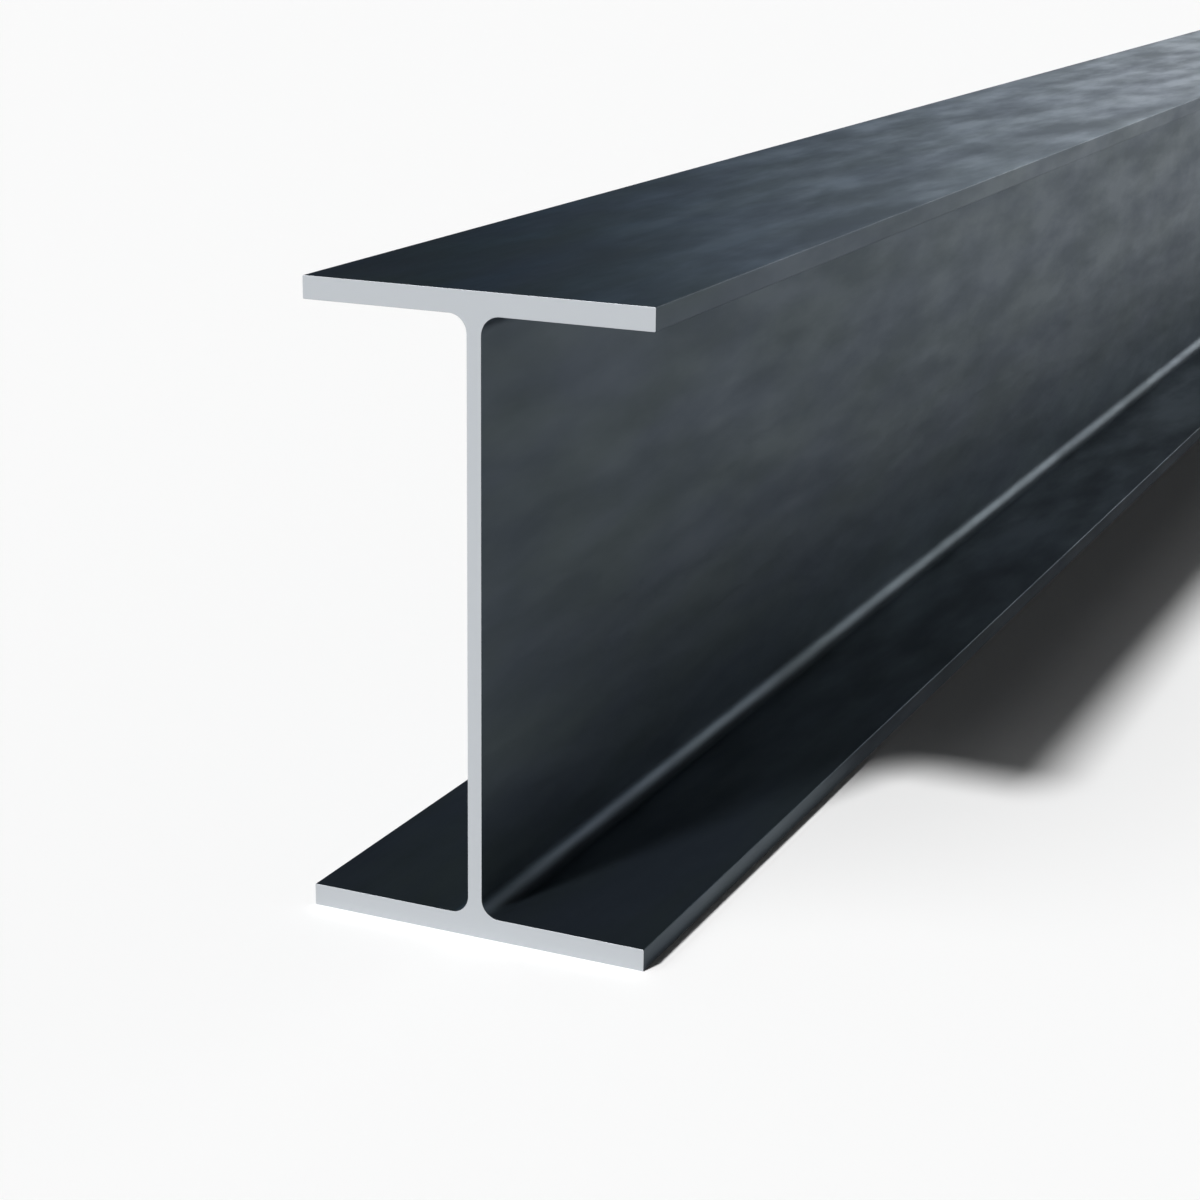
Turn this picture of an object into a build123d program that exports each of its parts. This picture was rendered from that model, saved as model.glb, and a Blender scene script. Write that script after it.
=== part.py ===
from build123d import *
import os

# A hot-rolled wide-flange steel beam, W250x32.7 (10 in deep, 22 lb/ft), in a 20 ft stock length.
# In millimetres, +Y runs along the beam, +X across its flanges and +Z up through its web. The origin is under
# the middle of the beam, on the plane that the bottom flange rests on.

# The rolled section
section_depth = 258.0
flange_width = 146.0
flange_thickness = 9.1
web_thickness = 6.1
root_radius = 7.6
toe_radius = 0.5

# The stock length, saw-cut square at both ends
beam_length = 6096.0
saw_edge_break = 0.2

# The channel on each side of the web, between the two flanges
channel_width = (flange_width - web_thickness) / 2
channel_height = section_depth - 2 * flange_thickness
channel_offset = (web_thickness + channel_width) / 2

with BuildPart() as i_beam:
    # The section is one closed outline: two parallel flanges and the web between them. The rolls leave a large
    # radius in each of the four roots and a small one on each of the eight flange corners.
    with BuildSketch(Plane.XZ) as section:
        Rectangle(flange_width, section_depth, align=(Align.CENTER, Align.MIN))
        with Locations((-channel_offset, section_depth / 2), (channel_offset, section_depth / 2)):
            Rectangle(channel_width, channel_height, mode=Mode.SUBTRACT)
        corners = section.vertices().group_by(lambda corner: abs(corner.X))
        fillet(corners[0], radius=root_radius)
        fillet(corners[-1], radius=toe_radius)
    extrude(amount=beam_length / 2, both=True)

    # The saw leaves a sharp arris round both cut faces, and dressing it takes off a fine bevel.
    cut_faces = i_beam.faces().filter_by(Axis.Y)
    chamfer(cut_faces.edges(), length=saw_edge_break)

i_beam.part.label = "i_beam"

os.makedirs("parts", exist_ok=True)
export_step(i_beam.part, "parts/i_beam.step")
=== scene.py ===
"""A hot-rolled wide-flange steel beam in mill scale with bright sawn ends, on a white studio floor."""

import math

import bpy
from bpy.props import FloatProperty, FloatVectorProperty, IntProperty, PointerProperty
from mathutils import Matrix, Vector


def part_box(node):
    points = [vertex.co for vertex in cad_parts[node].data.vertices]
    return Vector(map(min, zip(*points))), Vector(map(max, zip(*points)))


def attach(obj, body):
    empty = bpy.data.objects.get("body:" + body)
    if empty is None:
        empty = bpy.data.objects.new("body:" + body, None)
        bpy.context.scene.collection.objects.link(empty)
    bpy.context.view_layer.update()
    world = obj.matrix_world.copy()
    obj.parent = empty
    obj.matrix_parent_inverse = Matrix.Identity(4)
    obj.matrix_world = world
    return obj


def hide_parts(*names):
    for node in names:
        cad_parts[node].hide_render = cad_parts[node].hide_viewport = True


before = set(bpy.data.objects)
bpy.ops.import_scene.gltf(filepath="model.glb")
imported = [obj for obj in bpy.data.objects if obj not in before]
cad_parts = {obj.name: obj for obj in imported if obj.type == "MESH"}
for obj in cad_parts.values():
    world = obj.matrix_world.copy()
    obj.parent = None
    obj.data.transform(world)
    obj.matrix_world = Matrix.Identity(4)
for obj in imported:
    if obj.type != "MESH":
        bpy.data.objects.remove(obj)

bl_info = {
    "name": "Rolled steel beam",
    "version": (1, 0, 0),
    "blender": (4, 5, 0),
    "location": "3D Viewport > Sidebar > Beam",
    "description": "Makes a wide-flange steel beam with mill scale, sawn ends and a plain studio",
    "category": "Object",
}

BEAM_NODE = "i_beam"
BEAM_LOW, BEAM_HIGH = (Vector(corner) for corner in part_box(BEAM_NODE))
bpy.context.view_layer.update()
MM = 0.001


# Helpers


def linear(colour):
    """The linear RGBA of an sRGB colour written as #RRGGBB."""
    shares = [int(colour[i:i + 2], 16) / 255 for i in (1, 3, 5)]
    return [s / 12.92 if s <= 0.04045 else ((s + 0.055) / 1.055) ** 2.4 for s in shares] + [1.0]


def colour_property(name, description, colour):
    """A colour that a user can change, with an sRGB default."""
    return FloatVectorProperty(name=name, description=description, subtype="COLOR", size=4, min=0, max=1,
                               default=linear(colour))


def length_property(name, description, metres):
    """A length that a user can change, in metres."""
    return FloatProperty(name=name, description=description, default=metres, min=0, unit="LENGTH",
                         precision=5)


def angle_property(name, description, degrees):
    """An angle that a user can change, with its default in degrees."""
    return FloatProperty(name=name, description=description, default=math.radians(degrees), subtype="ANGLE")


def share_property(name, description, share):
    """A number from 0 to 1 that a user can change."""
    return FloatProperty(name=name, description=description, default=share, min=0, max=1, subtype="FACTOR")


def strength_property(name, description, strength):
    """A light's strength that a user can change."""
    return FloatProperty(name=name, description=description, default=strength, min=0)


def add(tree, kind, inputs=None, **settings):
    """Adds a node. Each input, by name or number, is a value, a socket to link from, or a node whose first
    output is linked."""
    made = tree.nodes.new(kind)
    for name, value in settings.items():
        setattr(made, name, value)
    for name, value in (inputs or {}).items():
        if isinstance(value, bpy.types.Node):
            value = value.outputs[0]
        if isinstance(value, bpy.types.NodeSocket):
            tree.links.new(value, made.inputs[name])
        else:
            made.inputs[name].default_value = value
    return made


# Settings


class SectionSettings(bpy.types.PropertyGroup):
    """The rolled section and its length."""

    depth: length_property("Depth", "Overall depth of the section", BEAM_HIGH.z - BEAM_LOW.z)
    width: length_property("Width", "Width of both flanges", BEAM_HIGH.x - BEAM_LOW.x)
    flange: length_property("Flange thickness", "Thickness of each flange", 9.1 * MM)
    web: length_property("Web thickness", "Thickness of the web", 6.1 * MM)
    root: length_property("Root radius", "Radius between the web and a flange", 7.6 * MM)
    toe: length_property("Toe radius", "Small radius on each flange corner", 0.5 * MM)
    length: length_property("Length", "Length between the sawn ends", BEAM_HIGH.y - BEAM_LOW.y)
    edge_break: length_property("Edge break", "Bevel round each sawn end", 0.2 * MM)
    root_steps: IntProperty(name="Root steps", description="Points round each root", default=16, min=2)
    toe_steps: IntProperty(name="Toe steps", description="Points round each flange corner", default=4, min=1)


class FinishSettings(bpy.types.PropertyGroup):
    """The steel's rolled and sawn surfaces."""

    scale_dark: colour_property("Mill scale", "Blue-black oxide left by hot rolling", "#2E353E")
    scale_pale: colour_property("Worn scale", "Greyer oxide where the scale is thin", "#2E3638")
    scale_sheen: colour_property("Scale sheen", "Cool tint of the scale's glaze at a low angle", "#EFF8FF")
    scale_smooth: share_property("Smooth scale", "Roughness in the scale's glossier clouds", 0.355)
    scale_dull: share_property("Dull scale", "Roughness in the scale's duller clouds", 0.465)
    cloud_length: length_property("Cloud length", "Length of a cloud in the scale, along the beam", 50 * MM)
    cloud_height: length_property("Cloud height", "Height of a cloud in the scale, across the beam", 12 * MM)
    wave_depth: length_property("Wave depth", "Depth of the soft waves that the rolls leave", 0.9 * MM)
    grain: length_property("Scale grain", "Size of the scale's grain as drawn", 1.2 * MM)
    grain_depth: length_property("Grain depth", "Depth of the scale's grain", 0.005 * MM)
    sawn: colour_property("Sawn steel", "Bare steel of the sawn ends", "#AFB3B7")
    sawn_roughness: share_property("Sawn roughness", "Roughness that the saw leaves", 0.5)
    saw_pitch: length_property("Saw mark pitch", "Distance between the saw's marks as drawn", 1.4 * MM)
    saw_mark: length_property("Saw mark length", "Length of one of the saw's marks", 56 * MM)
    saw_depth: length_property("Saw mark depth", "Depth of the saw's marks", 0.012 * MM)


class StageSettings(bpy.types.PropertyGroup):
    """The camera, the floor and the light."""

    camera_offset: FloatVectorProperty(
        name="Camera place", description="From the middle of the near end's foot", subtype="TRANSLATION",
        size=3, default=(0.4211, -0.8119, 0.4130))
    camera_yaw: angle_property("Camera yaw", "Turn to the left of the beam's length", 24.413)
    camera_pitch: angle_property("Camera pitch", "Tilt below the horizon", 16.636)
    camera_roll: angle_property("Camera roll", "Turn about the line of sight", 0.75)
    lens: FloatProperty(name="Focal length", description="On a 36 mm sensor", subtype="DISTANCE_CAMERA",
                        default=75.15)
    floor: colour_property("Floor", "Matt white studio floor", "#F7F7F7")
    floor_reach: length_property("Floor reach", "From the middle of the beam to the floor's edge", 150.0)
    floor_clear: share_property("Clear floor", "Share of unshaded floor in what the steel mirrors", 0.17)
    horizon: colour_property("Horizon", "Seen past the floor, and as pale as the lit floor", "#FBFBFB")
    key_azimuth: angle_property("Key light azimuth", "From straight in front, towards the left", 18.2)
    key_elevation: angle_property("Key light elevation", "Above the floor", 42.1)
    key_size: angle_property("Key light size", "Angle that the light fills", 5.6)
    key_strength: strength_property("Key light strength", "Watts per square metre", 3.78)
    fill_azimuth: angle_property("Fill light azimuth", "From straight in front, towards the left", 35)
    fill_elevation: angle_property("Fill light elevation", "Above the floor", 43)
    fill_size: angle_property("Fill light size", "Angle that the light fills", 42)
    fill_strength: strength_property("Fill light strength", "Watts per square metre", 0.86)
    rim: colour_property("Rim light", "Plain white", "#FFFFFF")
    rim_azimuth: angle_property("Rim light azimuth", "From straight behind, towards the right", 8)
    rim_middle: angle_property("Rim light middle", "Half the width that is evenly bright", 8.4)
    rim_reach: angle_property("Rim light reach", "Angle from its middle to where it has faded", 35)
    rim_height: angle_property("Rim light height", "How high it is evenly bright", 11)
    rim_top: angle_property("Rim light top", "Height where it has faded", 27)
    rim_strength: strength_property("Rim light strength", "Brightness of its middle", 1.88)
    backdrop: colour_property("Backdrop", "Cool white that the steel mirrors by the rim light", "#A0D4FF")
    backdrop_reach: angle_property("Backdrop reach", "From the rim light's middle to where it has faded", 40)
    backdrop_height: angle_property("Backdrop height", "How high the backdrop reaches all round", 5)
    room: strength_property("Room light", "Brightness of the dim light from all round", 0.012)


# Materials

# Nearly all of a noise's values lie between these two.
NOISE_LOW, NOISE_HIGH = 0.36, 0.64


def new_material(name):
    """Makes an empty node material, and returns it with its tree."""
    material = bpy.data.materials.new(name)
    material.use_nodes = True
    material.node_tree.nodes.clear()
    return material, material.node_tree


def mill_scale(finish):
    """Mill scale: the blue-black oxide skin that hot rolling leaves, part metal and part glaze to the eye.
    It is near black where it faces the eye and satin at a low angle, in soft clouds drawn out along the
    beam."""
    material, tree = new_material("mill_scale")
    place = add(tree, "ShaderNodeTexCoord").outputs["Object"]
    clouds_at = add(tree, "ShaderNodeMapping", {"Vector": place, "Scale": (
        1 / finish.cloud_height, 1 / finish.cloud_length, 1 / finish.cloud_height)})
    # A period of noise at scale 0.5 holds a dull cloud and a glossy one. The waves in the surface are a
    # little shorter and the changes of colour a little longer, so that the three seldom fall together.
    clouds = add(tree, "ShaderNodeTexNoise", {
        "Vector": clouds_at, "Scale": 0.5, "Detail": 5, "Roughness": 0.58})
    waves = add(tree, "ShaderNodeTexNoise", {"Vector": clouds_at, "Scale": 0.6, "Detail": 1.5})
    tints = add(tree, "ShaderNodeTexNoise", {"Vector": clouds_at, "Scale": 0.4, "Detail": 3})
    # The real grain, about a tenth of a millimetre across, is too fine to show, so it is drawn much coarser.
    grain = add(tree, "ShaderNodeTexNoise", {"Vector": place, "Scale": 1 / finish.grain, "Detail": 2})
    gloss = add(tree, "ShaderNodeMapRange", {
        "Value": clouds, "From Min": NOISE_LOW, "From Max": NOISE_HIGH, "To Min": finish.scale_smooth,
        "To Max": finish.scale_dull})
    shade = add(tree, "ShaderNodeMapRange", {"Value": tints, "From Min": NOISE_LOW, "From Max": NOISE_HIGH})
    colour = add(tree, "ShaderNodeMix", {"Factor": shade, "A": finish.scale_dark, "B": finish.scale_pale},
                 data_type="RGBA")
    waved = add(tree, "ShaderNodeBump", {"Height": waves, "Distance": finish.wave_depth})
    grained = add(tree, "ShaderNodeBump", {"Height": grain, "Distance": finish.grain_depth, "Normal": waved})
    shader = add(tree, "ShaderNodeBsdfPrincipled", {
        "Base Color": colour.outputs["Result"], "Metallic": 0.7, "Roughness": gloss,
        "Specular IOR Level": 0.2, "Specular Tint": finish.scale_sheen, "Normal": grained})
    add(tree, "ShaderNodeOutputMaterial", {"Surface": shader})
    return material


def sawn_steel(finish):
    """Bare steel, cut square by a cold saw: pale, silky and evenly bright, with faint straight marks."""
    material, tree = new_material("sawn_steel")
    place = add(tree, "ShaderNodeTexCoord").outputs["Object"]
    # The real marks, a few tenths of a millimetre apart, are too fine to show, so they are drawn coarser.
    marks_at = add(tree, "ShaderNodeMapping", {"Vector": place, "Scale": (
        1 / finish.saw_mark, 0, 1 / finish.saw_pitch)})
    marks = add(tree, "ShaderNodeTexNoise", {"Vector": marks_at, "Scale": 1, "Detail": 3})
    marked = add(tree, "ShaderNodeBump", {"Height": marks, "Distance": finish.saw_depth})
    shader = add(tree, "ShaderNodeBsdfPrincipled", {
        "Base Color": finish.sawn, "Metallic": 0.5, "Roughness": finish.sawn_roughness, "Normal": marked})
    add(tree, "ShaderNodeOutputMaterial", {"Surface": shader})
    return material


# The beam

# The corners of the section, anticlockwise from the bottom left, as which half width and which half height
# each one has: a flange's or the web's, and the outer or the inner face of a flange.
CORNERS = [
    ("-flange", "-outer"), ("flange", "-outer"), ("flange", "-inner"), ("web", "-inner"),
    ("web", "inner"), ("flange", "inner"), ("flange", "outer"), ("-flange", "outer"),
    ("-flange", "inner"), ("-web", "inner"), ("-web", "-inner"), ("-flange", "-inner"),
]


def section_tree():
    """The rolled section as a node tree: a cornered outline, its radii, and its sweep along the beam."""
    tree = bpy.data.node_groups.new("rolled_section", "GeometryNodeTree")
    new_socket = tree.interface.new_socket
    for name in ("Depth", "Width", "Flange thickness", "Web thickness", "Root radius", "Toe radius",
                 "Length"):
        new_socket(name, in_out="INPUT", socket_type="NodeSocketFloat")
    for name in ("Root steps", "Toe steps"):
        new_socket(name, in_out="INPUT", socket_type="NodeSocketInt")
    for name in ("Rolled finish", "Sawn finish"):
        new_socket(name, in_out="INPUT", socket_type="NodeSocketMaterial")
    new_socket("Beam", in_out="OUTPUT", socket_type="NodeSocketGeometry")
    size = add(tree, "NodeGroupInput").outputs

    # Half of each size, on both sides of the middle
    wholes = {"flange": "Width", "web": "Web thickness", "outer": "Depth", "end": "Length"}
    half = {name: add(tree, "ShaderNodeMath", {0: size[whole], 1: 0.5}, operation="MULTIPLY").outputs[0]
            for name, whole in wholes.items()}
    half["inner"] = add(tree, "ShaderNodeMath", {0: half["outer"], 1: size["Flange thickness"]},
                        operation="SUBTRACT").outputs[0]
    half |= {"-" + name: add(tree, "ShaderNodeMath", {0: value, 1: -1.0}, operation="MULTIPLY").outputs[0]
             for name, value in half.items()}

    # What each corner of the section has, picked by its number
    number = add(tree, "GeometryNodeInputIndex")
    at_corner = {}
    for name, kind, values in (
            ("across", "FLOAT", [half[x] for x, z in CORNERS]),
            ("up", "FLOAT", [half[z] for x, z in CORNERS]),
            ("radius", "FLOAT", [size["Root radius" if "web" in x else "Toe radius"] for x, z in CORNERS]),
            ("steps", "INT", [size["Root steps" if "web" in x else "Toe steps"] for x, z in CORNERS])):
        picked = add(tree, "GeometryNodeIndexSwitch", {"Index": number}, data_type=kind)
        while len(picked.index_switch_items) < len(CORNERS):
            picked.index_switch_items.new()
        for value, socket in zip(values, list(picked.inputs)[1:]):
            tree.links.new(value, socket)
        at_corner[name] = picked

    corner = add(tree, "ShaderNodeCombineXYZ", {"X": at_corner["across"], "Y": at_corner["up"]})
    line = add(tree, "GeometryNodeMeshLine", {"Count": len(CORNERS)})
    placed = add(tree, "GeometryNodeSetPosition", {"Geometry": line, "Position": corner})
    curve = add(tree, "GeometryNodeMeshToCurve", {"Mesh": placed})
    closed = add(tree, "GeometryNodeSetSplineCyclic", {"Geometry": curve, "Cyclic": True})
    outline = add(tree, "GeometryNodeFilletCurve", {
        "Curve": closed, "Radius": at_corner["radius"], "Count": at_corner["steps"], "Limit Radius": True},
        mode="POLY")

    near = add(tree, "ShaderNodeCombineXYZ", {"Y": half["-end"], "Z": half["outer"]})
    far = add(tree, "ShaderNodeCombineXYZ", {"Y": half["end"], "Z": half["outer"]})
    rail = add(tree, "GeometryNodeCurvePrimitiveLine", {"Start": near, "End": far})
    swept = add(tree, "GeometryNodeCurveToMesh", {
        "Curve": rail, "Profile Curve": outline, "Fill Caps": True})

    normal = add(tree, "ShaderNodeSeparateXYZ", {0: add(tree, "GeometryNodeInputNormal")})
    endwise = add(tree, "ShaderNodeMath", {0: normal.outputs["Y"]}, operation="ABSOLUTE")
    is_end = add(tree, "FunctionNodeCompare", {0: endwise, 1: 0.5}, operation="GREATER_THAN")
    smooth = add(tree, "GeometryNodeSetShadeSmooth", {"Geometry": swept})
    real = add(tree, "GeometryNodeRealizeInstances", {"Geometry": smooth})
    rolled = add(tree, "GeometryNodeSetMaterial", {"Geometry": real, "Material": size["Rolled finish"]})
    sawn = add(tree, "GeometryNodeSetMaterial", {"Geometry": rolled, "Selection": is_end,
                                                 "Material": size["Sawn finish"]})
    add(tree, "NodeGroupOutput", {"Beam": sawn})
    return tree


class BEAM_OT_rolled_beam(bpy.types.Operator):
    """Makes the beam: the rolled section swept along its length, with bevelled sawn ends"""

    bl_idname = "beam.rolled_beam"
    bl_label = "Rolled beam"

    def execute(self, context):
        section, finish = context.scene.beam_section, context.scene.beam_finish
        holder = bpy.data.objects.new("rolled_beam", bpy.data.meshes.new("rolled_beam_start"))
        context.scene.collection.objects.link(holder)
        tree = section_tree()
        values = {
            "Depth": section.depth, "Width": section.width, "Flange thickness": section.flange,
            "Web thickness": section.web, "Root radius": section.root, "Toe radius": section.toe,
            "Length": section.length, "Root steps": section.root_steps, "Toe steps": section.toe_steps,
            "Rolled finish": mill_scale(finish), "Sawn finish": sawn_steel(finish),
        }
        sweep = holder.modifiers.new("Section", "NODES")
        sweep.node_group = tree
        for item in tree.interface.items_tree:
            if item.in_out == "INPUT":
                sweep[item.identifier] = values[item.name]
        # Only the square edge round a sawn end turns more than the limit, and its bevel takes the second
        # material, the sawn one. Then the wide flat faces get normals of their own, so that they look flat.
        bevel = holder.modifiers.new("Edge break", "BEVEL")
        bevel.width = section.edge_break
        bevel.segments = 2
        bevel.limit_method = "ANGLE"
        bevel.angle_limit = math.radians(60)
        bevel.material = 1
        flats = holder.modifiers.new("Flats", "WEIGHTED_NORMAL")
        flats.weight = 100

        shape = bpy.data.meshes.new_from_object(holder.evaluated_get(context.evaluated_depsgraph_get()))
        if not shape.polygons:
            raise RuntimeError("the rolled section came out empty")
        holder.modifiers.clear()
        holder.data = shape
        shape.name = "rolled_beam"
        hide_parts(BEAM_NODE)
        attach(holder, "root")
        return {"FINISHED"}


# The stage


def studio_floor(stage):
    """A matt white floor. The steel mirrors a share of it unshaded, as part of the white backdrop, so that
    the low edges don't go black in the beam's own shadow. The camera sees the shadow in full."""
    material, tree = new_material("studio_floor")
    rays = add(tree, "ShaderNodeLightPath").outputs
    steel_sees = add(tree, "ShaderNodeMath", {0: rays["Is Glossy Ray"], 1: rays["Is Transmission Ray"]},
                     operation="MAXIMUM")
    share = add(tree, "ShaderNodeMath", {0: steel_sees, 1: stage.floor_clear}, operation="MULTIPLY")
    lit = add(tree, "ShaderNodeBsdfDiffuse", {"Color": stage.floor})
    clear = add(tree, "ShaderNodeEmission", {"Color": stage.floor, "Strength": 1.0})
    shown = add(tree, "ShaderNodeMixShader", {0: share, 1: lit, 2: clear})
    add(tree, "ShaderNodeOutputMaterial", {"Surface": shown})
    return material


def studio_world(stage):
    """A dim room with a low soft light behind the beam. The steel also mirrors a cool white backdrop beside
    that light, and the camera sees a plain pale horizon."""
    world = bpy.data.worlds.new("studio")
    world.use_nodes = True
    tree = world.node_tree
    tree.nodes.clear()
    rays = add(tree, "ShaderNodeLightPath").outputs

    # Each direction's height above the floor, and how far it is turned from the rim light's middle
    around = add(tree, "ShaderNodeTexCoord").outputs["Generated"]
    towards = add(tree, "ShaderNodeSeparateXYZ", {0: around}).outputs
    height = add(tree, "ShaderNodeMath", {0: towards["Z"]}, operation="ARCSINE")
    heading = add(tree, "ShaderNodeMath", {0: towards["X"], 1: towards["Y"]}, operation="ARCTAN2")
    turned = add(tree, "ShaderNodeMath", {0: heading, 1: stage.rim_azimuth}, operation="SUBTRACT")
    aside = add(tree, "ShaderNodeMath", {0: turned}, operation="ABSOLUTE")

    # How bright each part is in this direction, from 1 in its middle to 0 where it has faded
    rim_across, rim_up, beside_across, band = (
        add(tree, "ShaderNodeMapRange", {"Value": angle, "From Min": full, "From Max": gone, "To Min": 1.0,
                                         "To Max": 0.0}, interpolation_type="SMOOTHSTEP")
        for angle, full, gone in ((aside, stage.rim_middle, stage.rim_reach),
                                  (height, stage.rim_height, stage.rim_top),
                                  (aside, stage.rim_middle, stage.backdrop_reach),
                                  (height, 0.0, stage.backdrop_height)))
    rim = add(tree, "ShaderNodeMath", {0: rim_across, 1: rim_up}, operation="MULTIPLY")
    beside = add(tree, "ShaderNodeMath", {0: beside_across, 1: rim_up}, operation="MULTIPLY")
    lit = add(tree, "ShaderNodeMath", {0: rim, 1: stage.rim_strength, 2: stage.room},
              operation="MULTIPLY_ADD")
    lights = add(tree, "ShaderNodeBackground", {"Color": stage.rim, "Strength": lit})

    # Only mirrored rays see the backdrop, so it doesn't light the floor.
    steel_sees = add(tree, "ShaderNodeMath", {0: rays["Is Glossy Ray"], 1: rays["Is Transmission Ray"]},
                     operation="MAXIMUM")
    standing = add(tree, "ShaderNodeMath", {0: beside, 1: band}, operation="MAXIMUM")
    seen = add(tree, "ShaderNodeMath", {0: steel_sees, 1: standing}, operation="MULTIPLY")
    tone = add(tree, "ShaderNodeMix", {"Factor": rim, "A": stage.backdrop, "B": stage.rim}, data_type="RGBA")
    backdrop = add(tree, "ShaderNodeBackground", {"Color": tone.outputs["Result"], "Strength": seen})
    room = add(tree, "ShaderNodeAddShader", {0: lights, 1: backdrop})
    horizon = add(tree, "ShaderNodeBackground", {"Color": stage.horizon, "Strength": 1.0})
    shown = add(tree, "ShaderNodeMixShader", {0: rays["Is Camera Ray"], 1: room, 2: horizon})
    add(tree, "ShaderNodeOutputWorld", {"Surface": shown})
    return world


def add_lamp(scene, name, strength, size, azimuth, elevation):
    """Adds a distant soft lamp, turned from straight in front towards the left and raised above the floor."""
    lamp = bpy.data.lights.new(name, "SUN")
    lamp.energy = strength
    lamp.angle = size
    towards = Vector((-math.cos(elevation) * math.sin(azimuth), -math.cos(elevation) * math.cos(azimuth),
                      math.sin(elevation)))
    holder = bpy.data.objects.new(name, lamp)
    holder.rotation_euler = towards.to_track_quat("Z", "Y").to_euler()
    scene.collection.objects.link(holder)


class BEAM_OT_stage(bpy.types.Operator):
    """Lays the floor and sets the light and the camera"""

    bl_idname = "beam.stage"
    bl_label = "Stage"

    def execute(self, context):
        scene, stage = context.scene, context.scene.beam_stage
        middle = (BEAM_LOW + BEAM_HIGH) / 2
        reach = stage.floor_reach
        mesh = bpy.data.meshes.new("studio_floor")
        mesh.from_pydata([(middle.x + x * reach, middle.y + y * reach, BEAM_LOW.z)
                          for x, y in ((-1, -1), (1, -1), (1, 1), (-1, 1))], [], [(0, 1, 2, 3)])
        mesh.materials.append(studio_floor(stage))
        floor = bpy.data.objects.new("studio_floor", mesh)
        scene.collection.objects.link(floor)

        add_lamp(scene, "key_light", stage.key_strength, stage.key_size, stage.key_azimuth,
                 stage.key_elevation)
        add_lamp(scene, "fill_light", stage.fill_strength, stage.fill_size, stage.fill_azimuth,
                 stage.fill_elevation)
        scene.world = studio_world(stage)

        camera = bpy.data.cameras.new("camera")
        camera.lens = stage.lens
        camera.sensor_width = 36
        # Well past the floor's edge, so that the horizon is never cut off
        camera.clip_end = 10 * reach
        holder = bpy.data.objects.new("camera", camera)
        foot = Vector((middle.x, BEAM_LOW.y, BEAM_LOW.z))
        turn = (Matrix.Rotation(stage.camera_yaw, 4, "Z")
                @ Matrix.Rotation(math.pi / 2 - stage.camera_pitch, 4, "X")
                @ Matrix.Rotation(stage.camera_roll, 4, "Z"))
        holder.matrix_world = Matrix.Translation(foot + Vector(stage.camera_offset)) @ turn
        scene.collection.objects.link(holder)
        scene.camera = holder
        scene.view_settings.view_transform = "Standard"
        return {"FINISHED"}


class BEAM_PT_panel(bpy.types.Panel):
    """The beam's settings and steps"""

    bl_label = "Rolled steel beam"
    bl_idname = "BEAM_PT_panel"
    bl_space_type = "VIEW_3D"
    bl_region_type = "UI"
    bl_category = "Beam"

    def draw(self, context):
        for operator, group in ((BEAM_OT_rolled_beam, context.scene.beam_section),
                                (None, context.scene.beam_finish),
                                (BEAM_OT_stage, context.scene.beam_stage)):
            column = self.layout.column()
            if operator:
                column.operator(operator.bl_idname)
            for name in group.__annotations__:
                column.prop(group, name)


CLASSES = (SectionSettings, FinishSettings, StageSettings, BEAM_OT_rolled_beam, BEAM_OT_stage, BEAM_PT_panel)


def register():
    """Adds the operators, the panel and each scene's settings."""
    for each in CLASSES:
        bpy.utils.register_class(each)
    bpy.types.Scene.beam_section = PointerProperty(type=SectionSettings)
    bpy.types.Scene.beam_finish = PointerProperty(type=FinishSettings)
    bpy.types.Scene.beam_stage = PointerProperty(type=StageSettings)


def unregister():
    """Takes them away again."""
    del bpy.types.Scene.beam_section, bpy.types.Scene.beam_finish, bpy.types.Scene.beam_stage
    for each in reversed(CLASSES):
        bpy.utils.unregister_class(each)


def main():
    """Sets the stage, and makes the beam."""
    register()
    bpy.ops.beam.stage()
    bpy.ops.beam.rolled_beam()


if __name__ == "__main__":
    main()
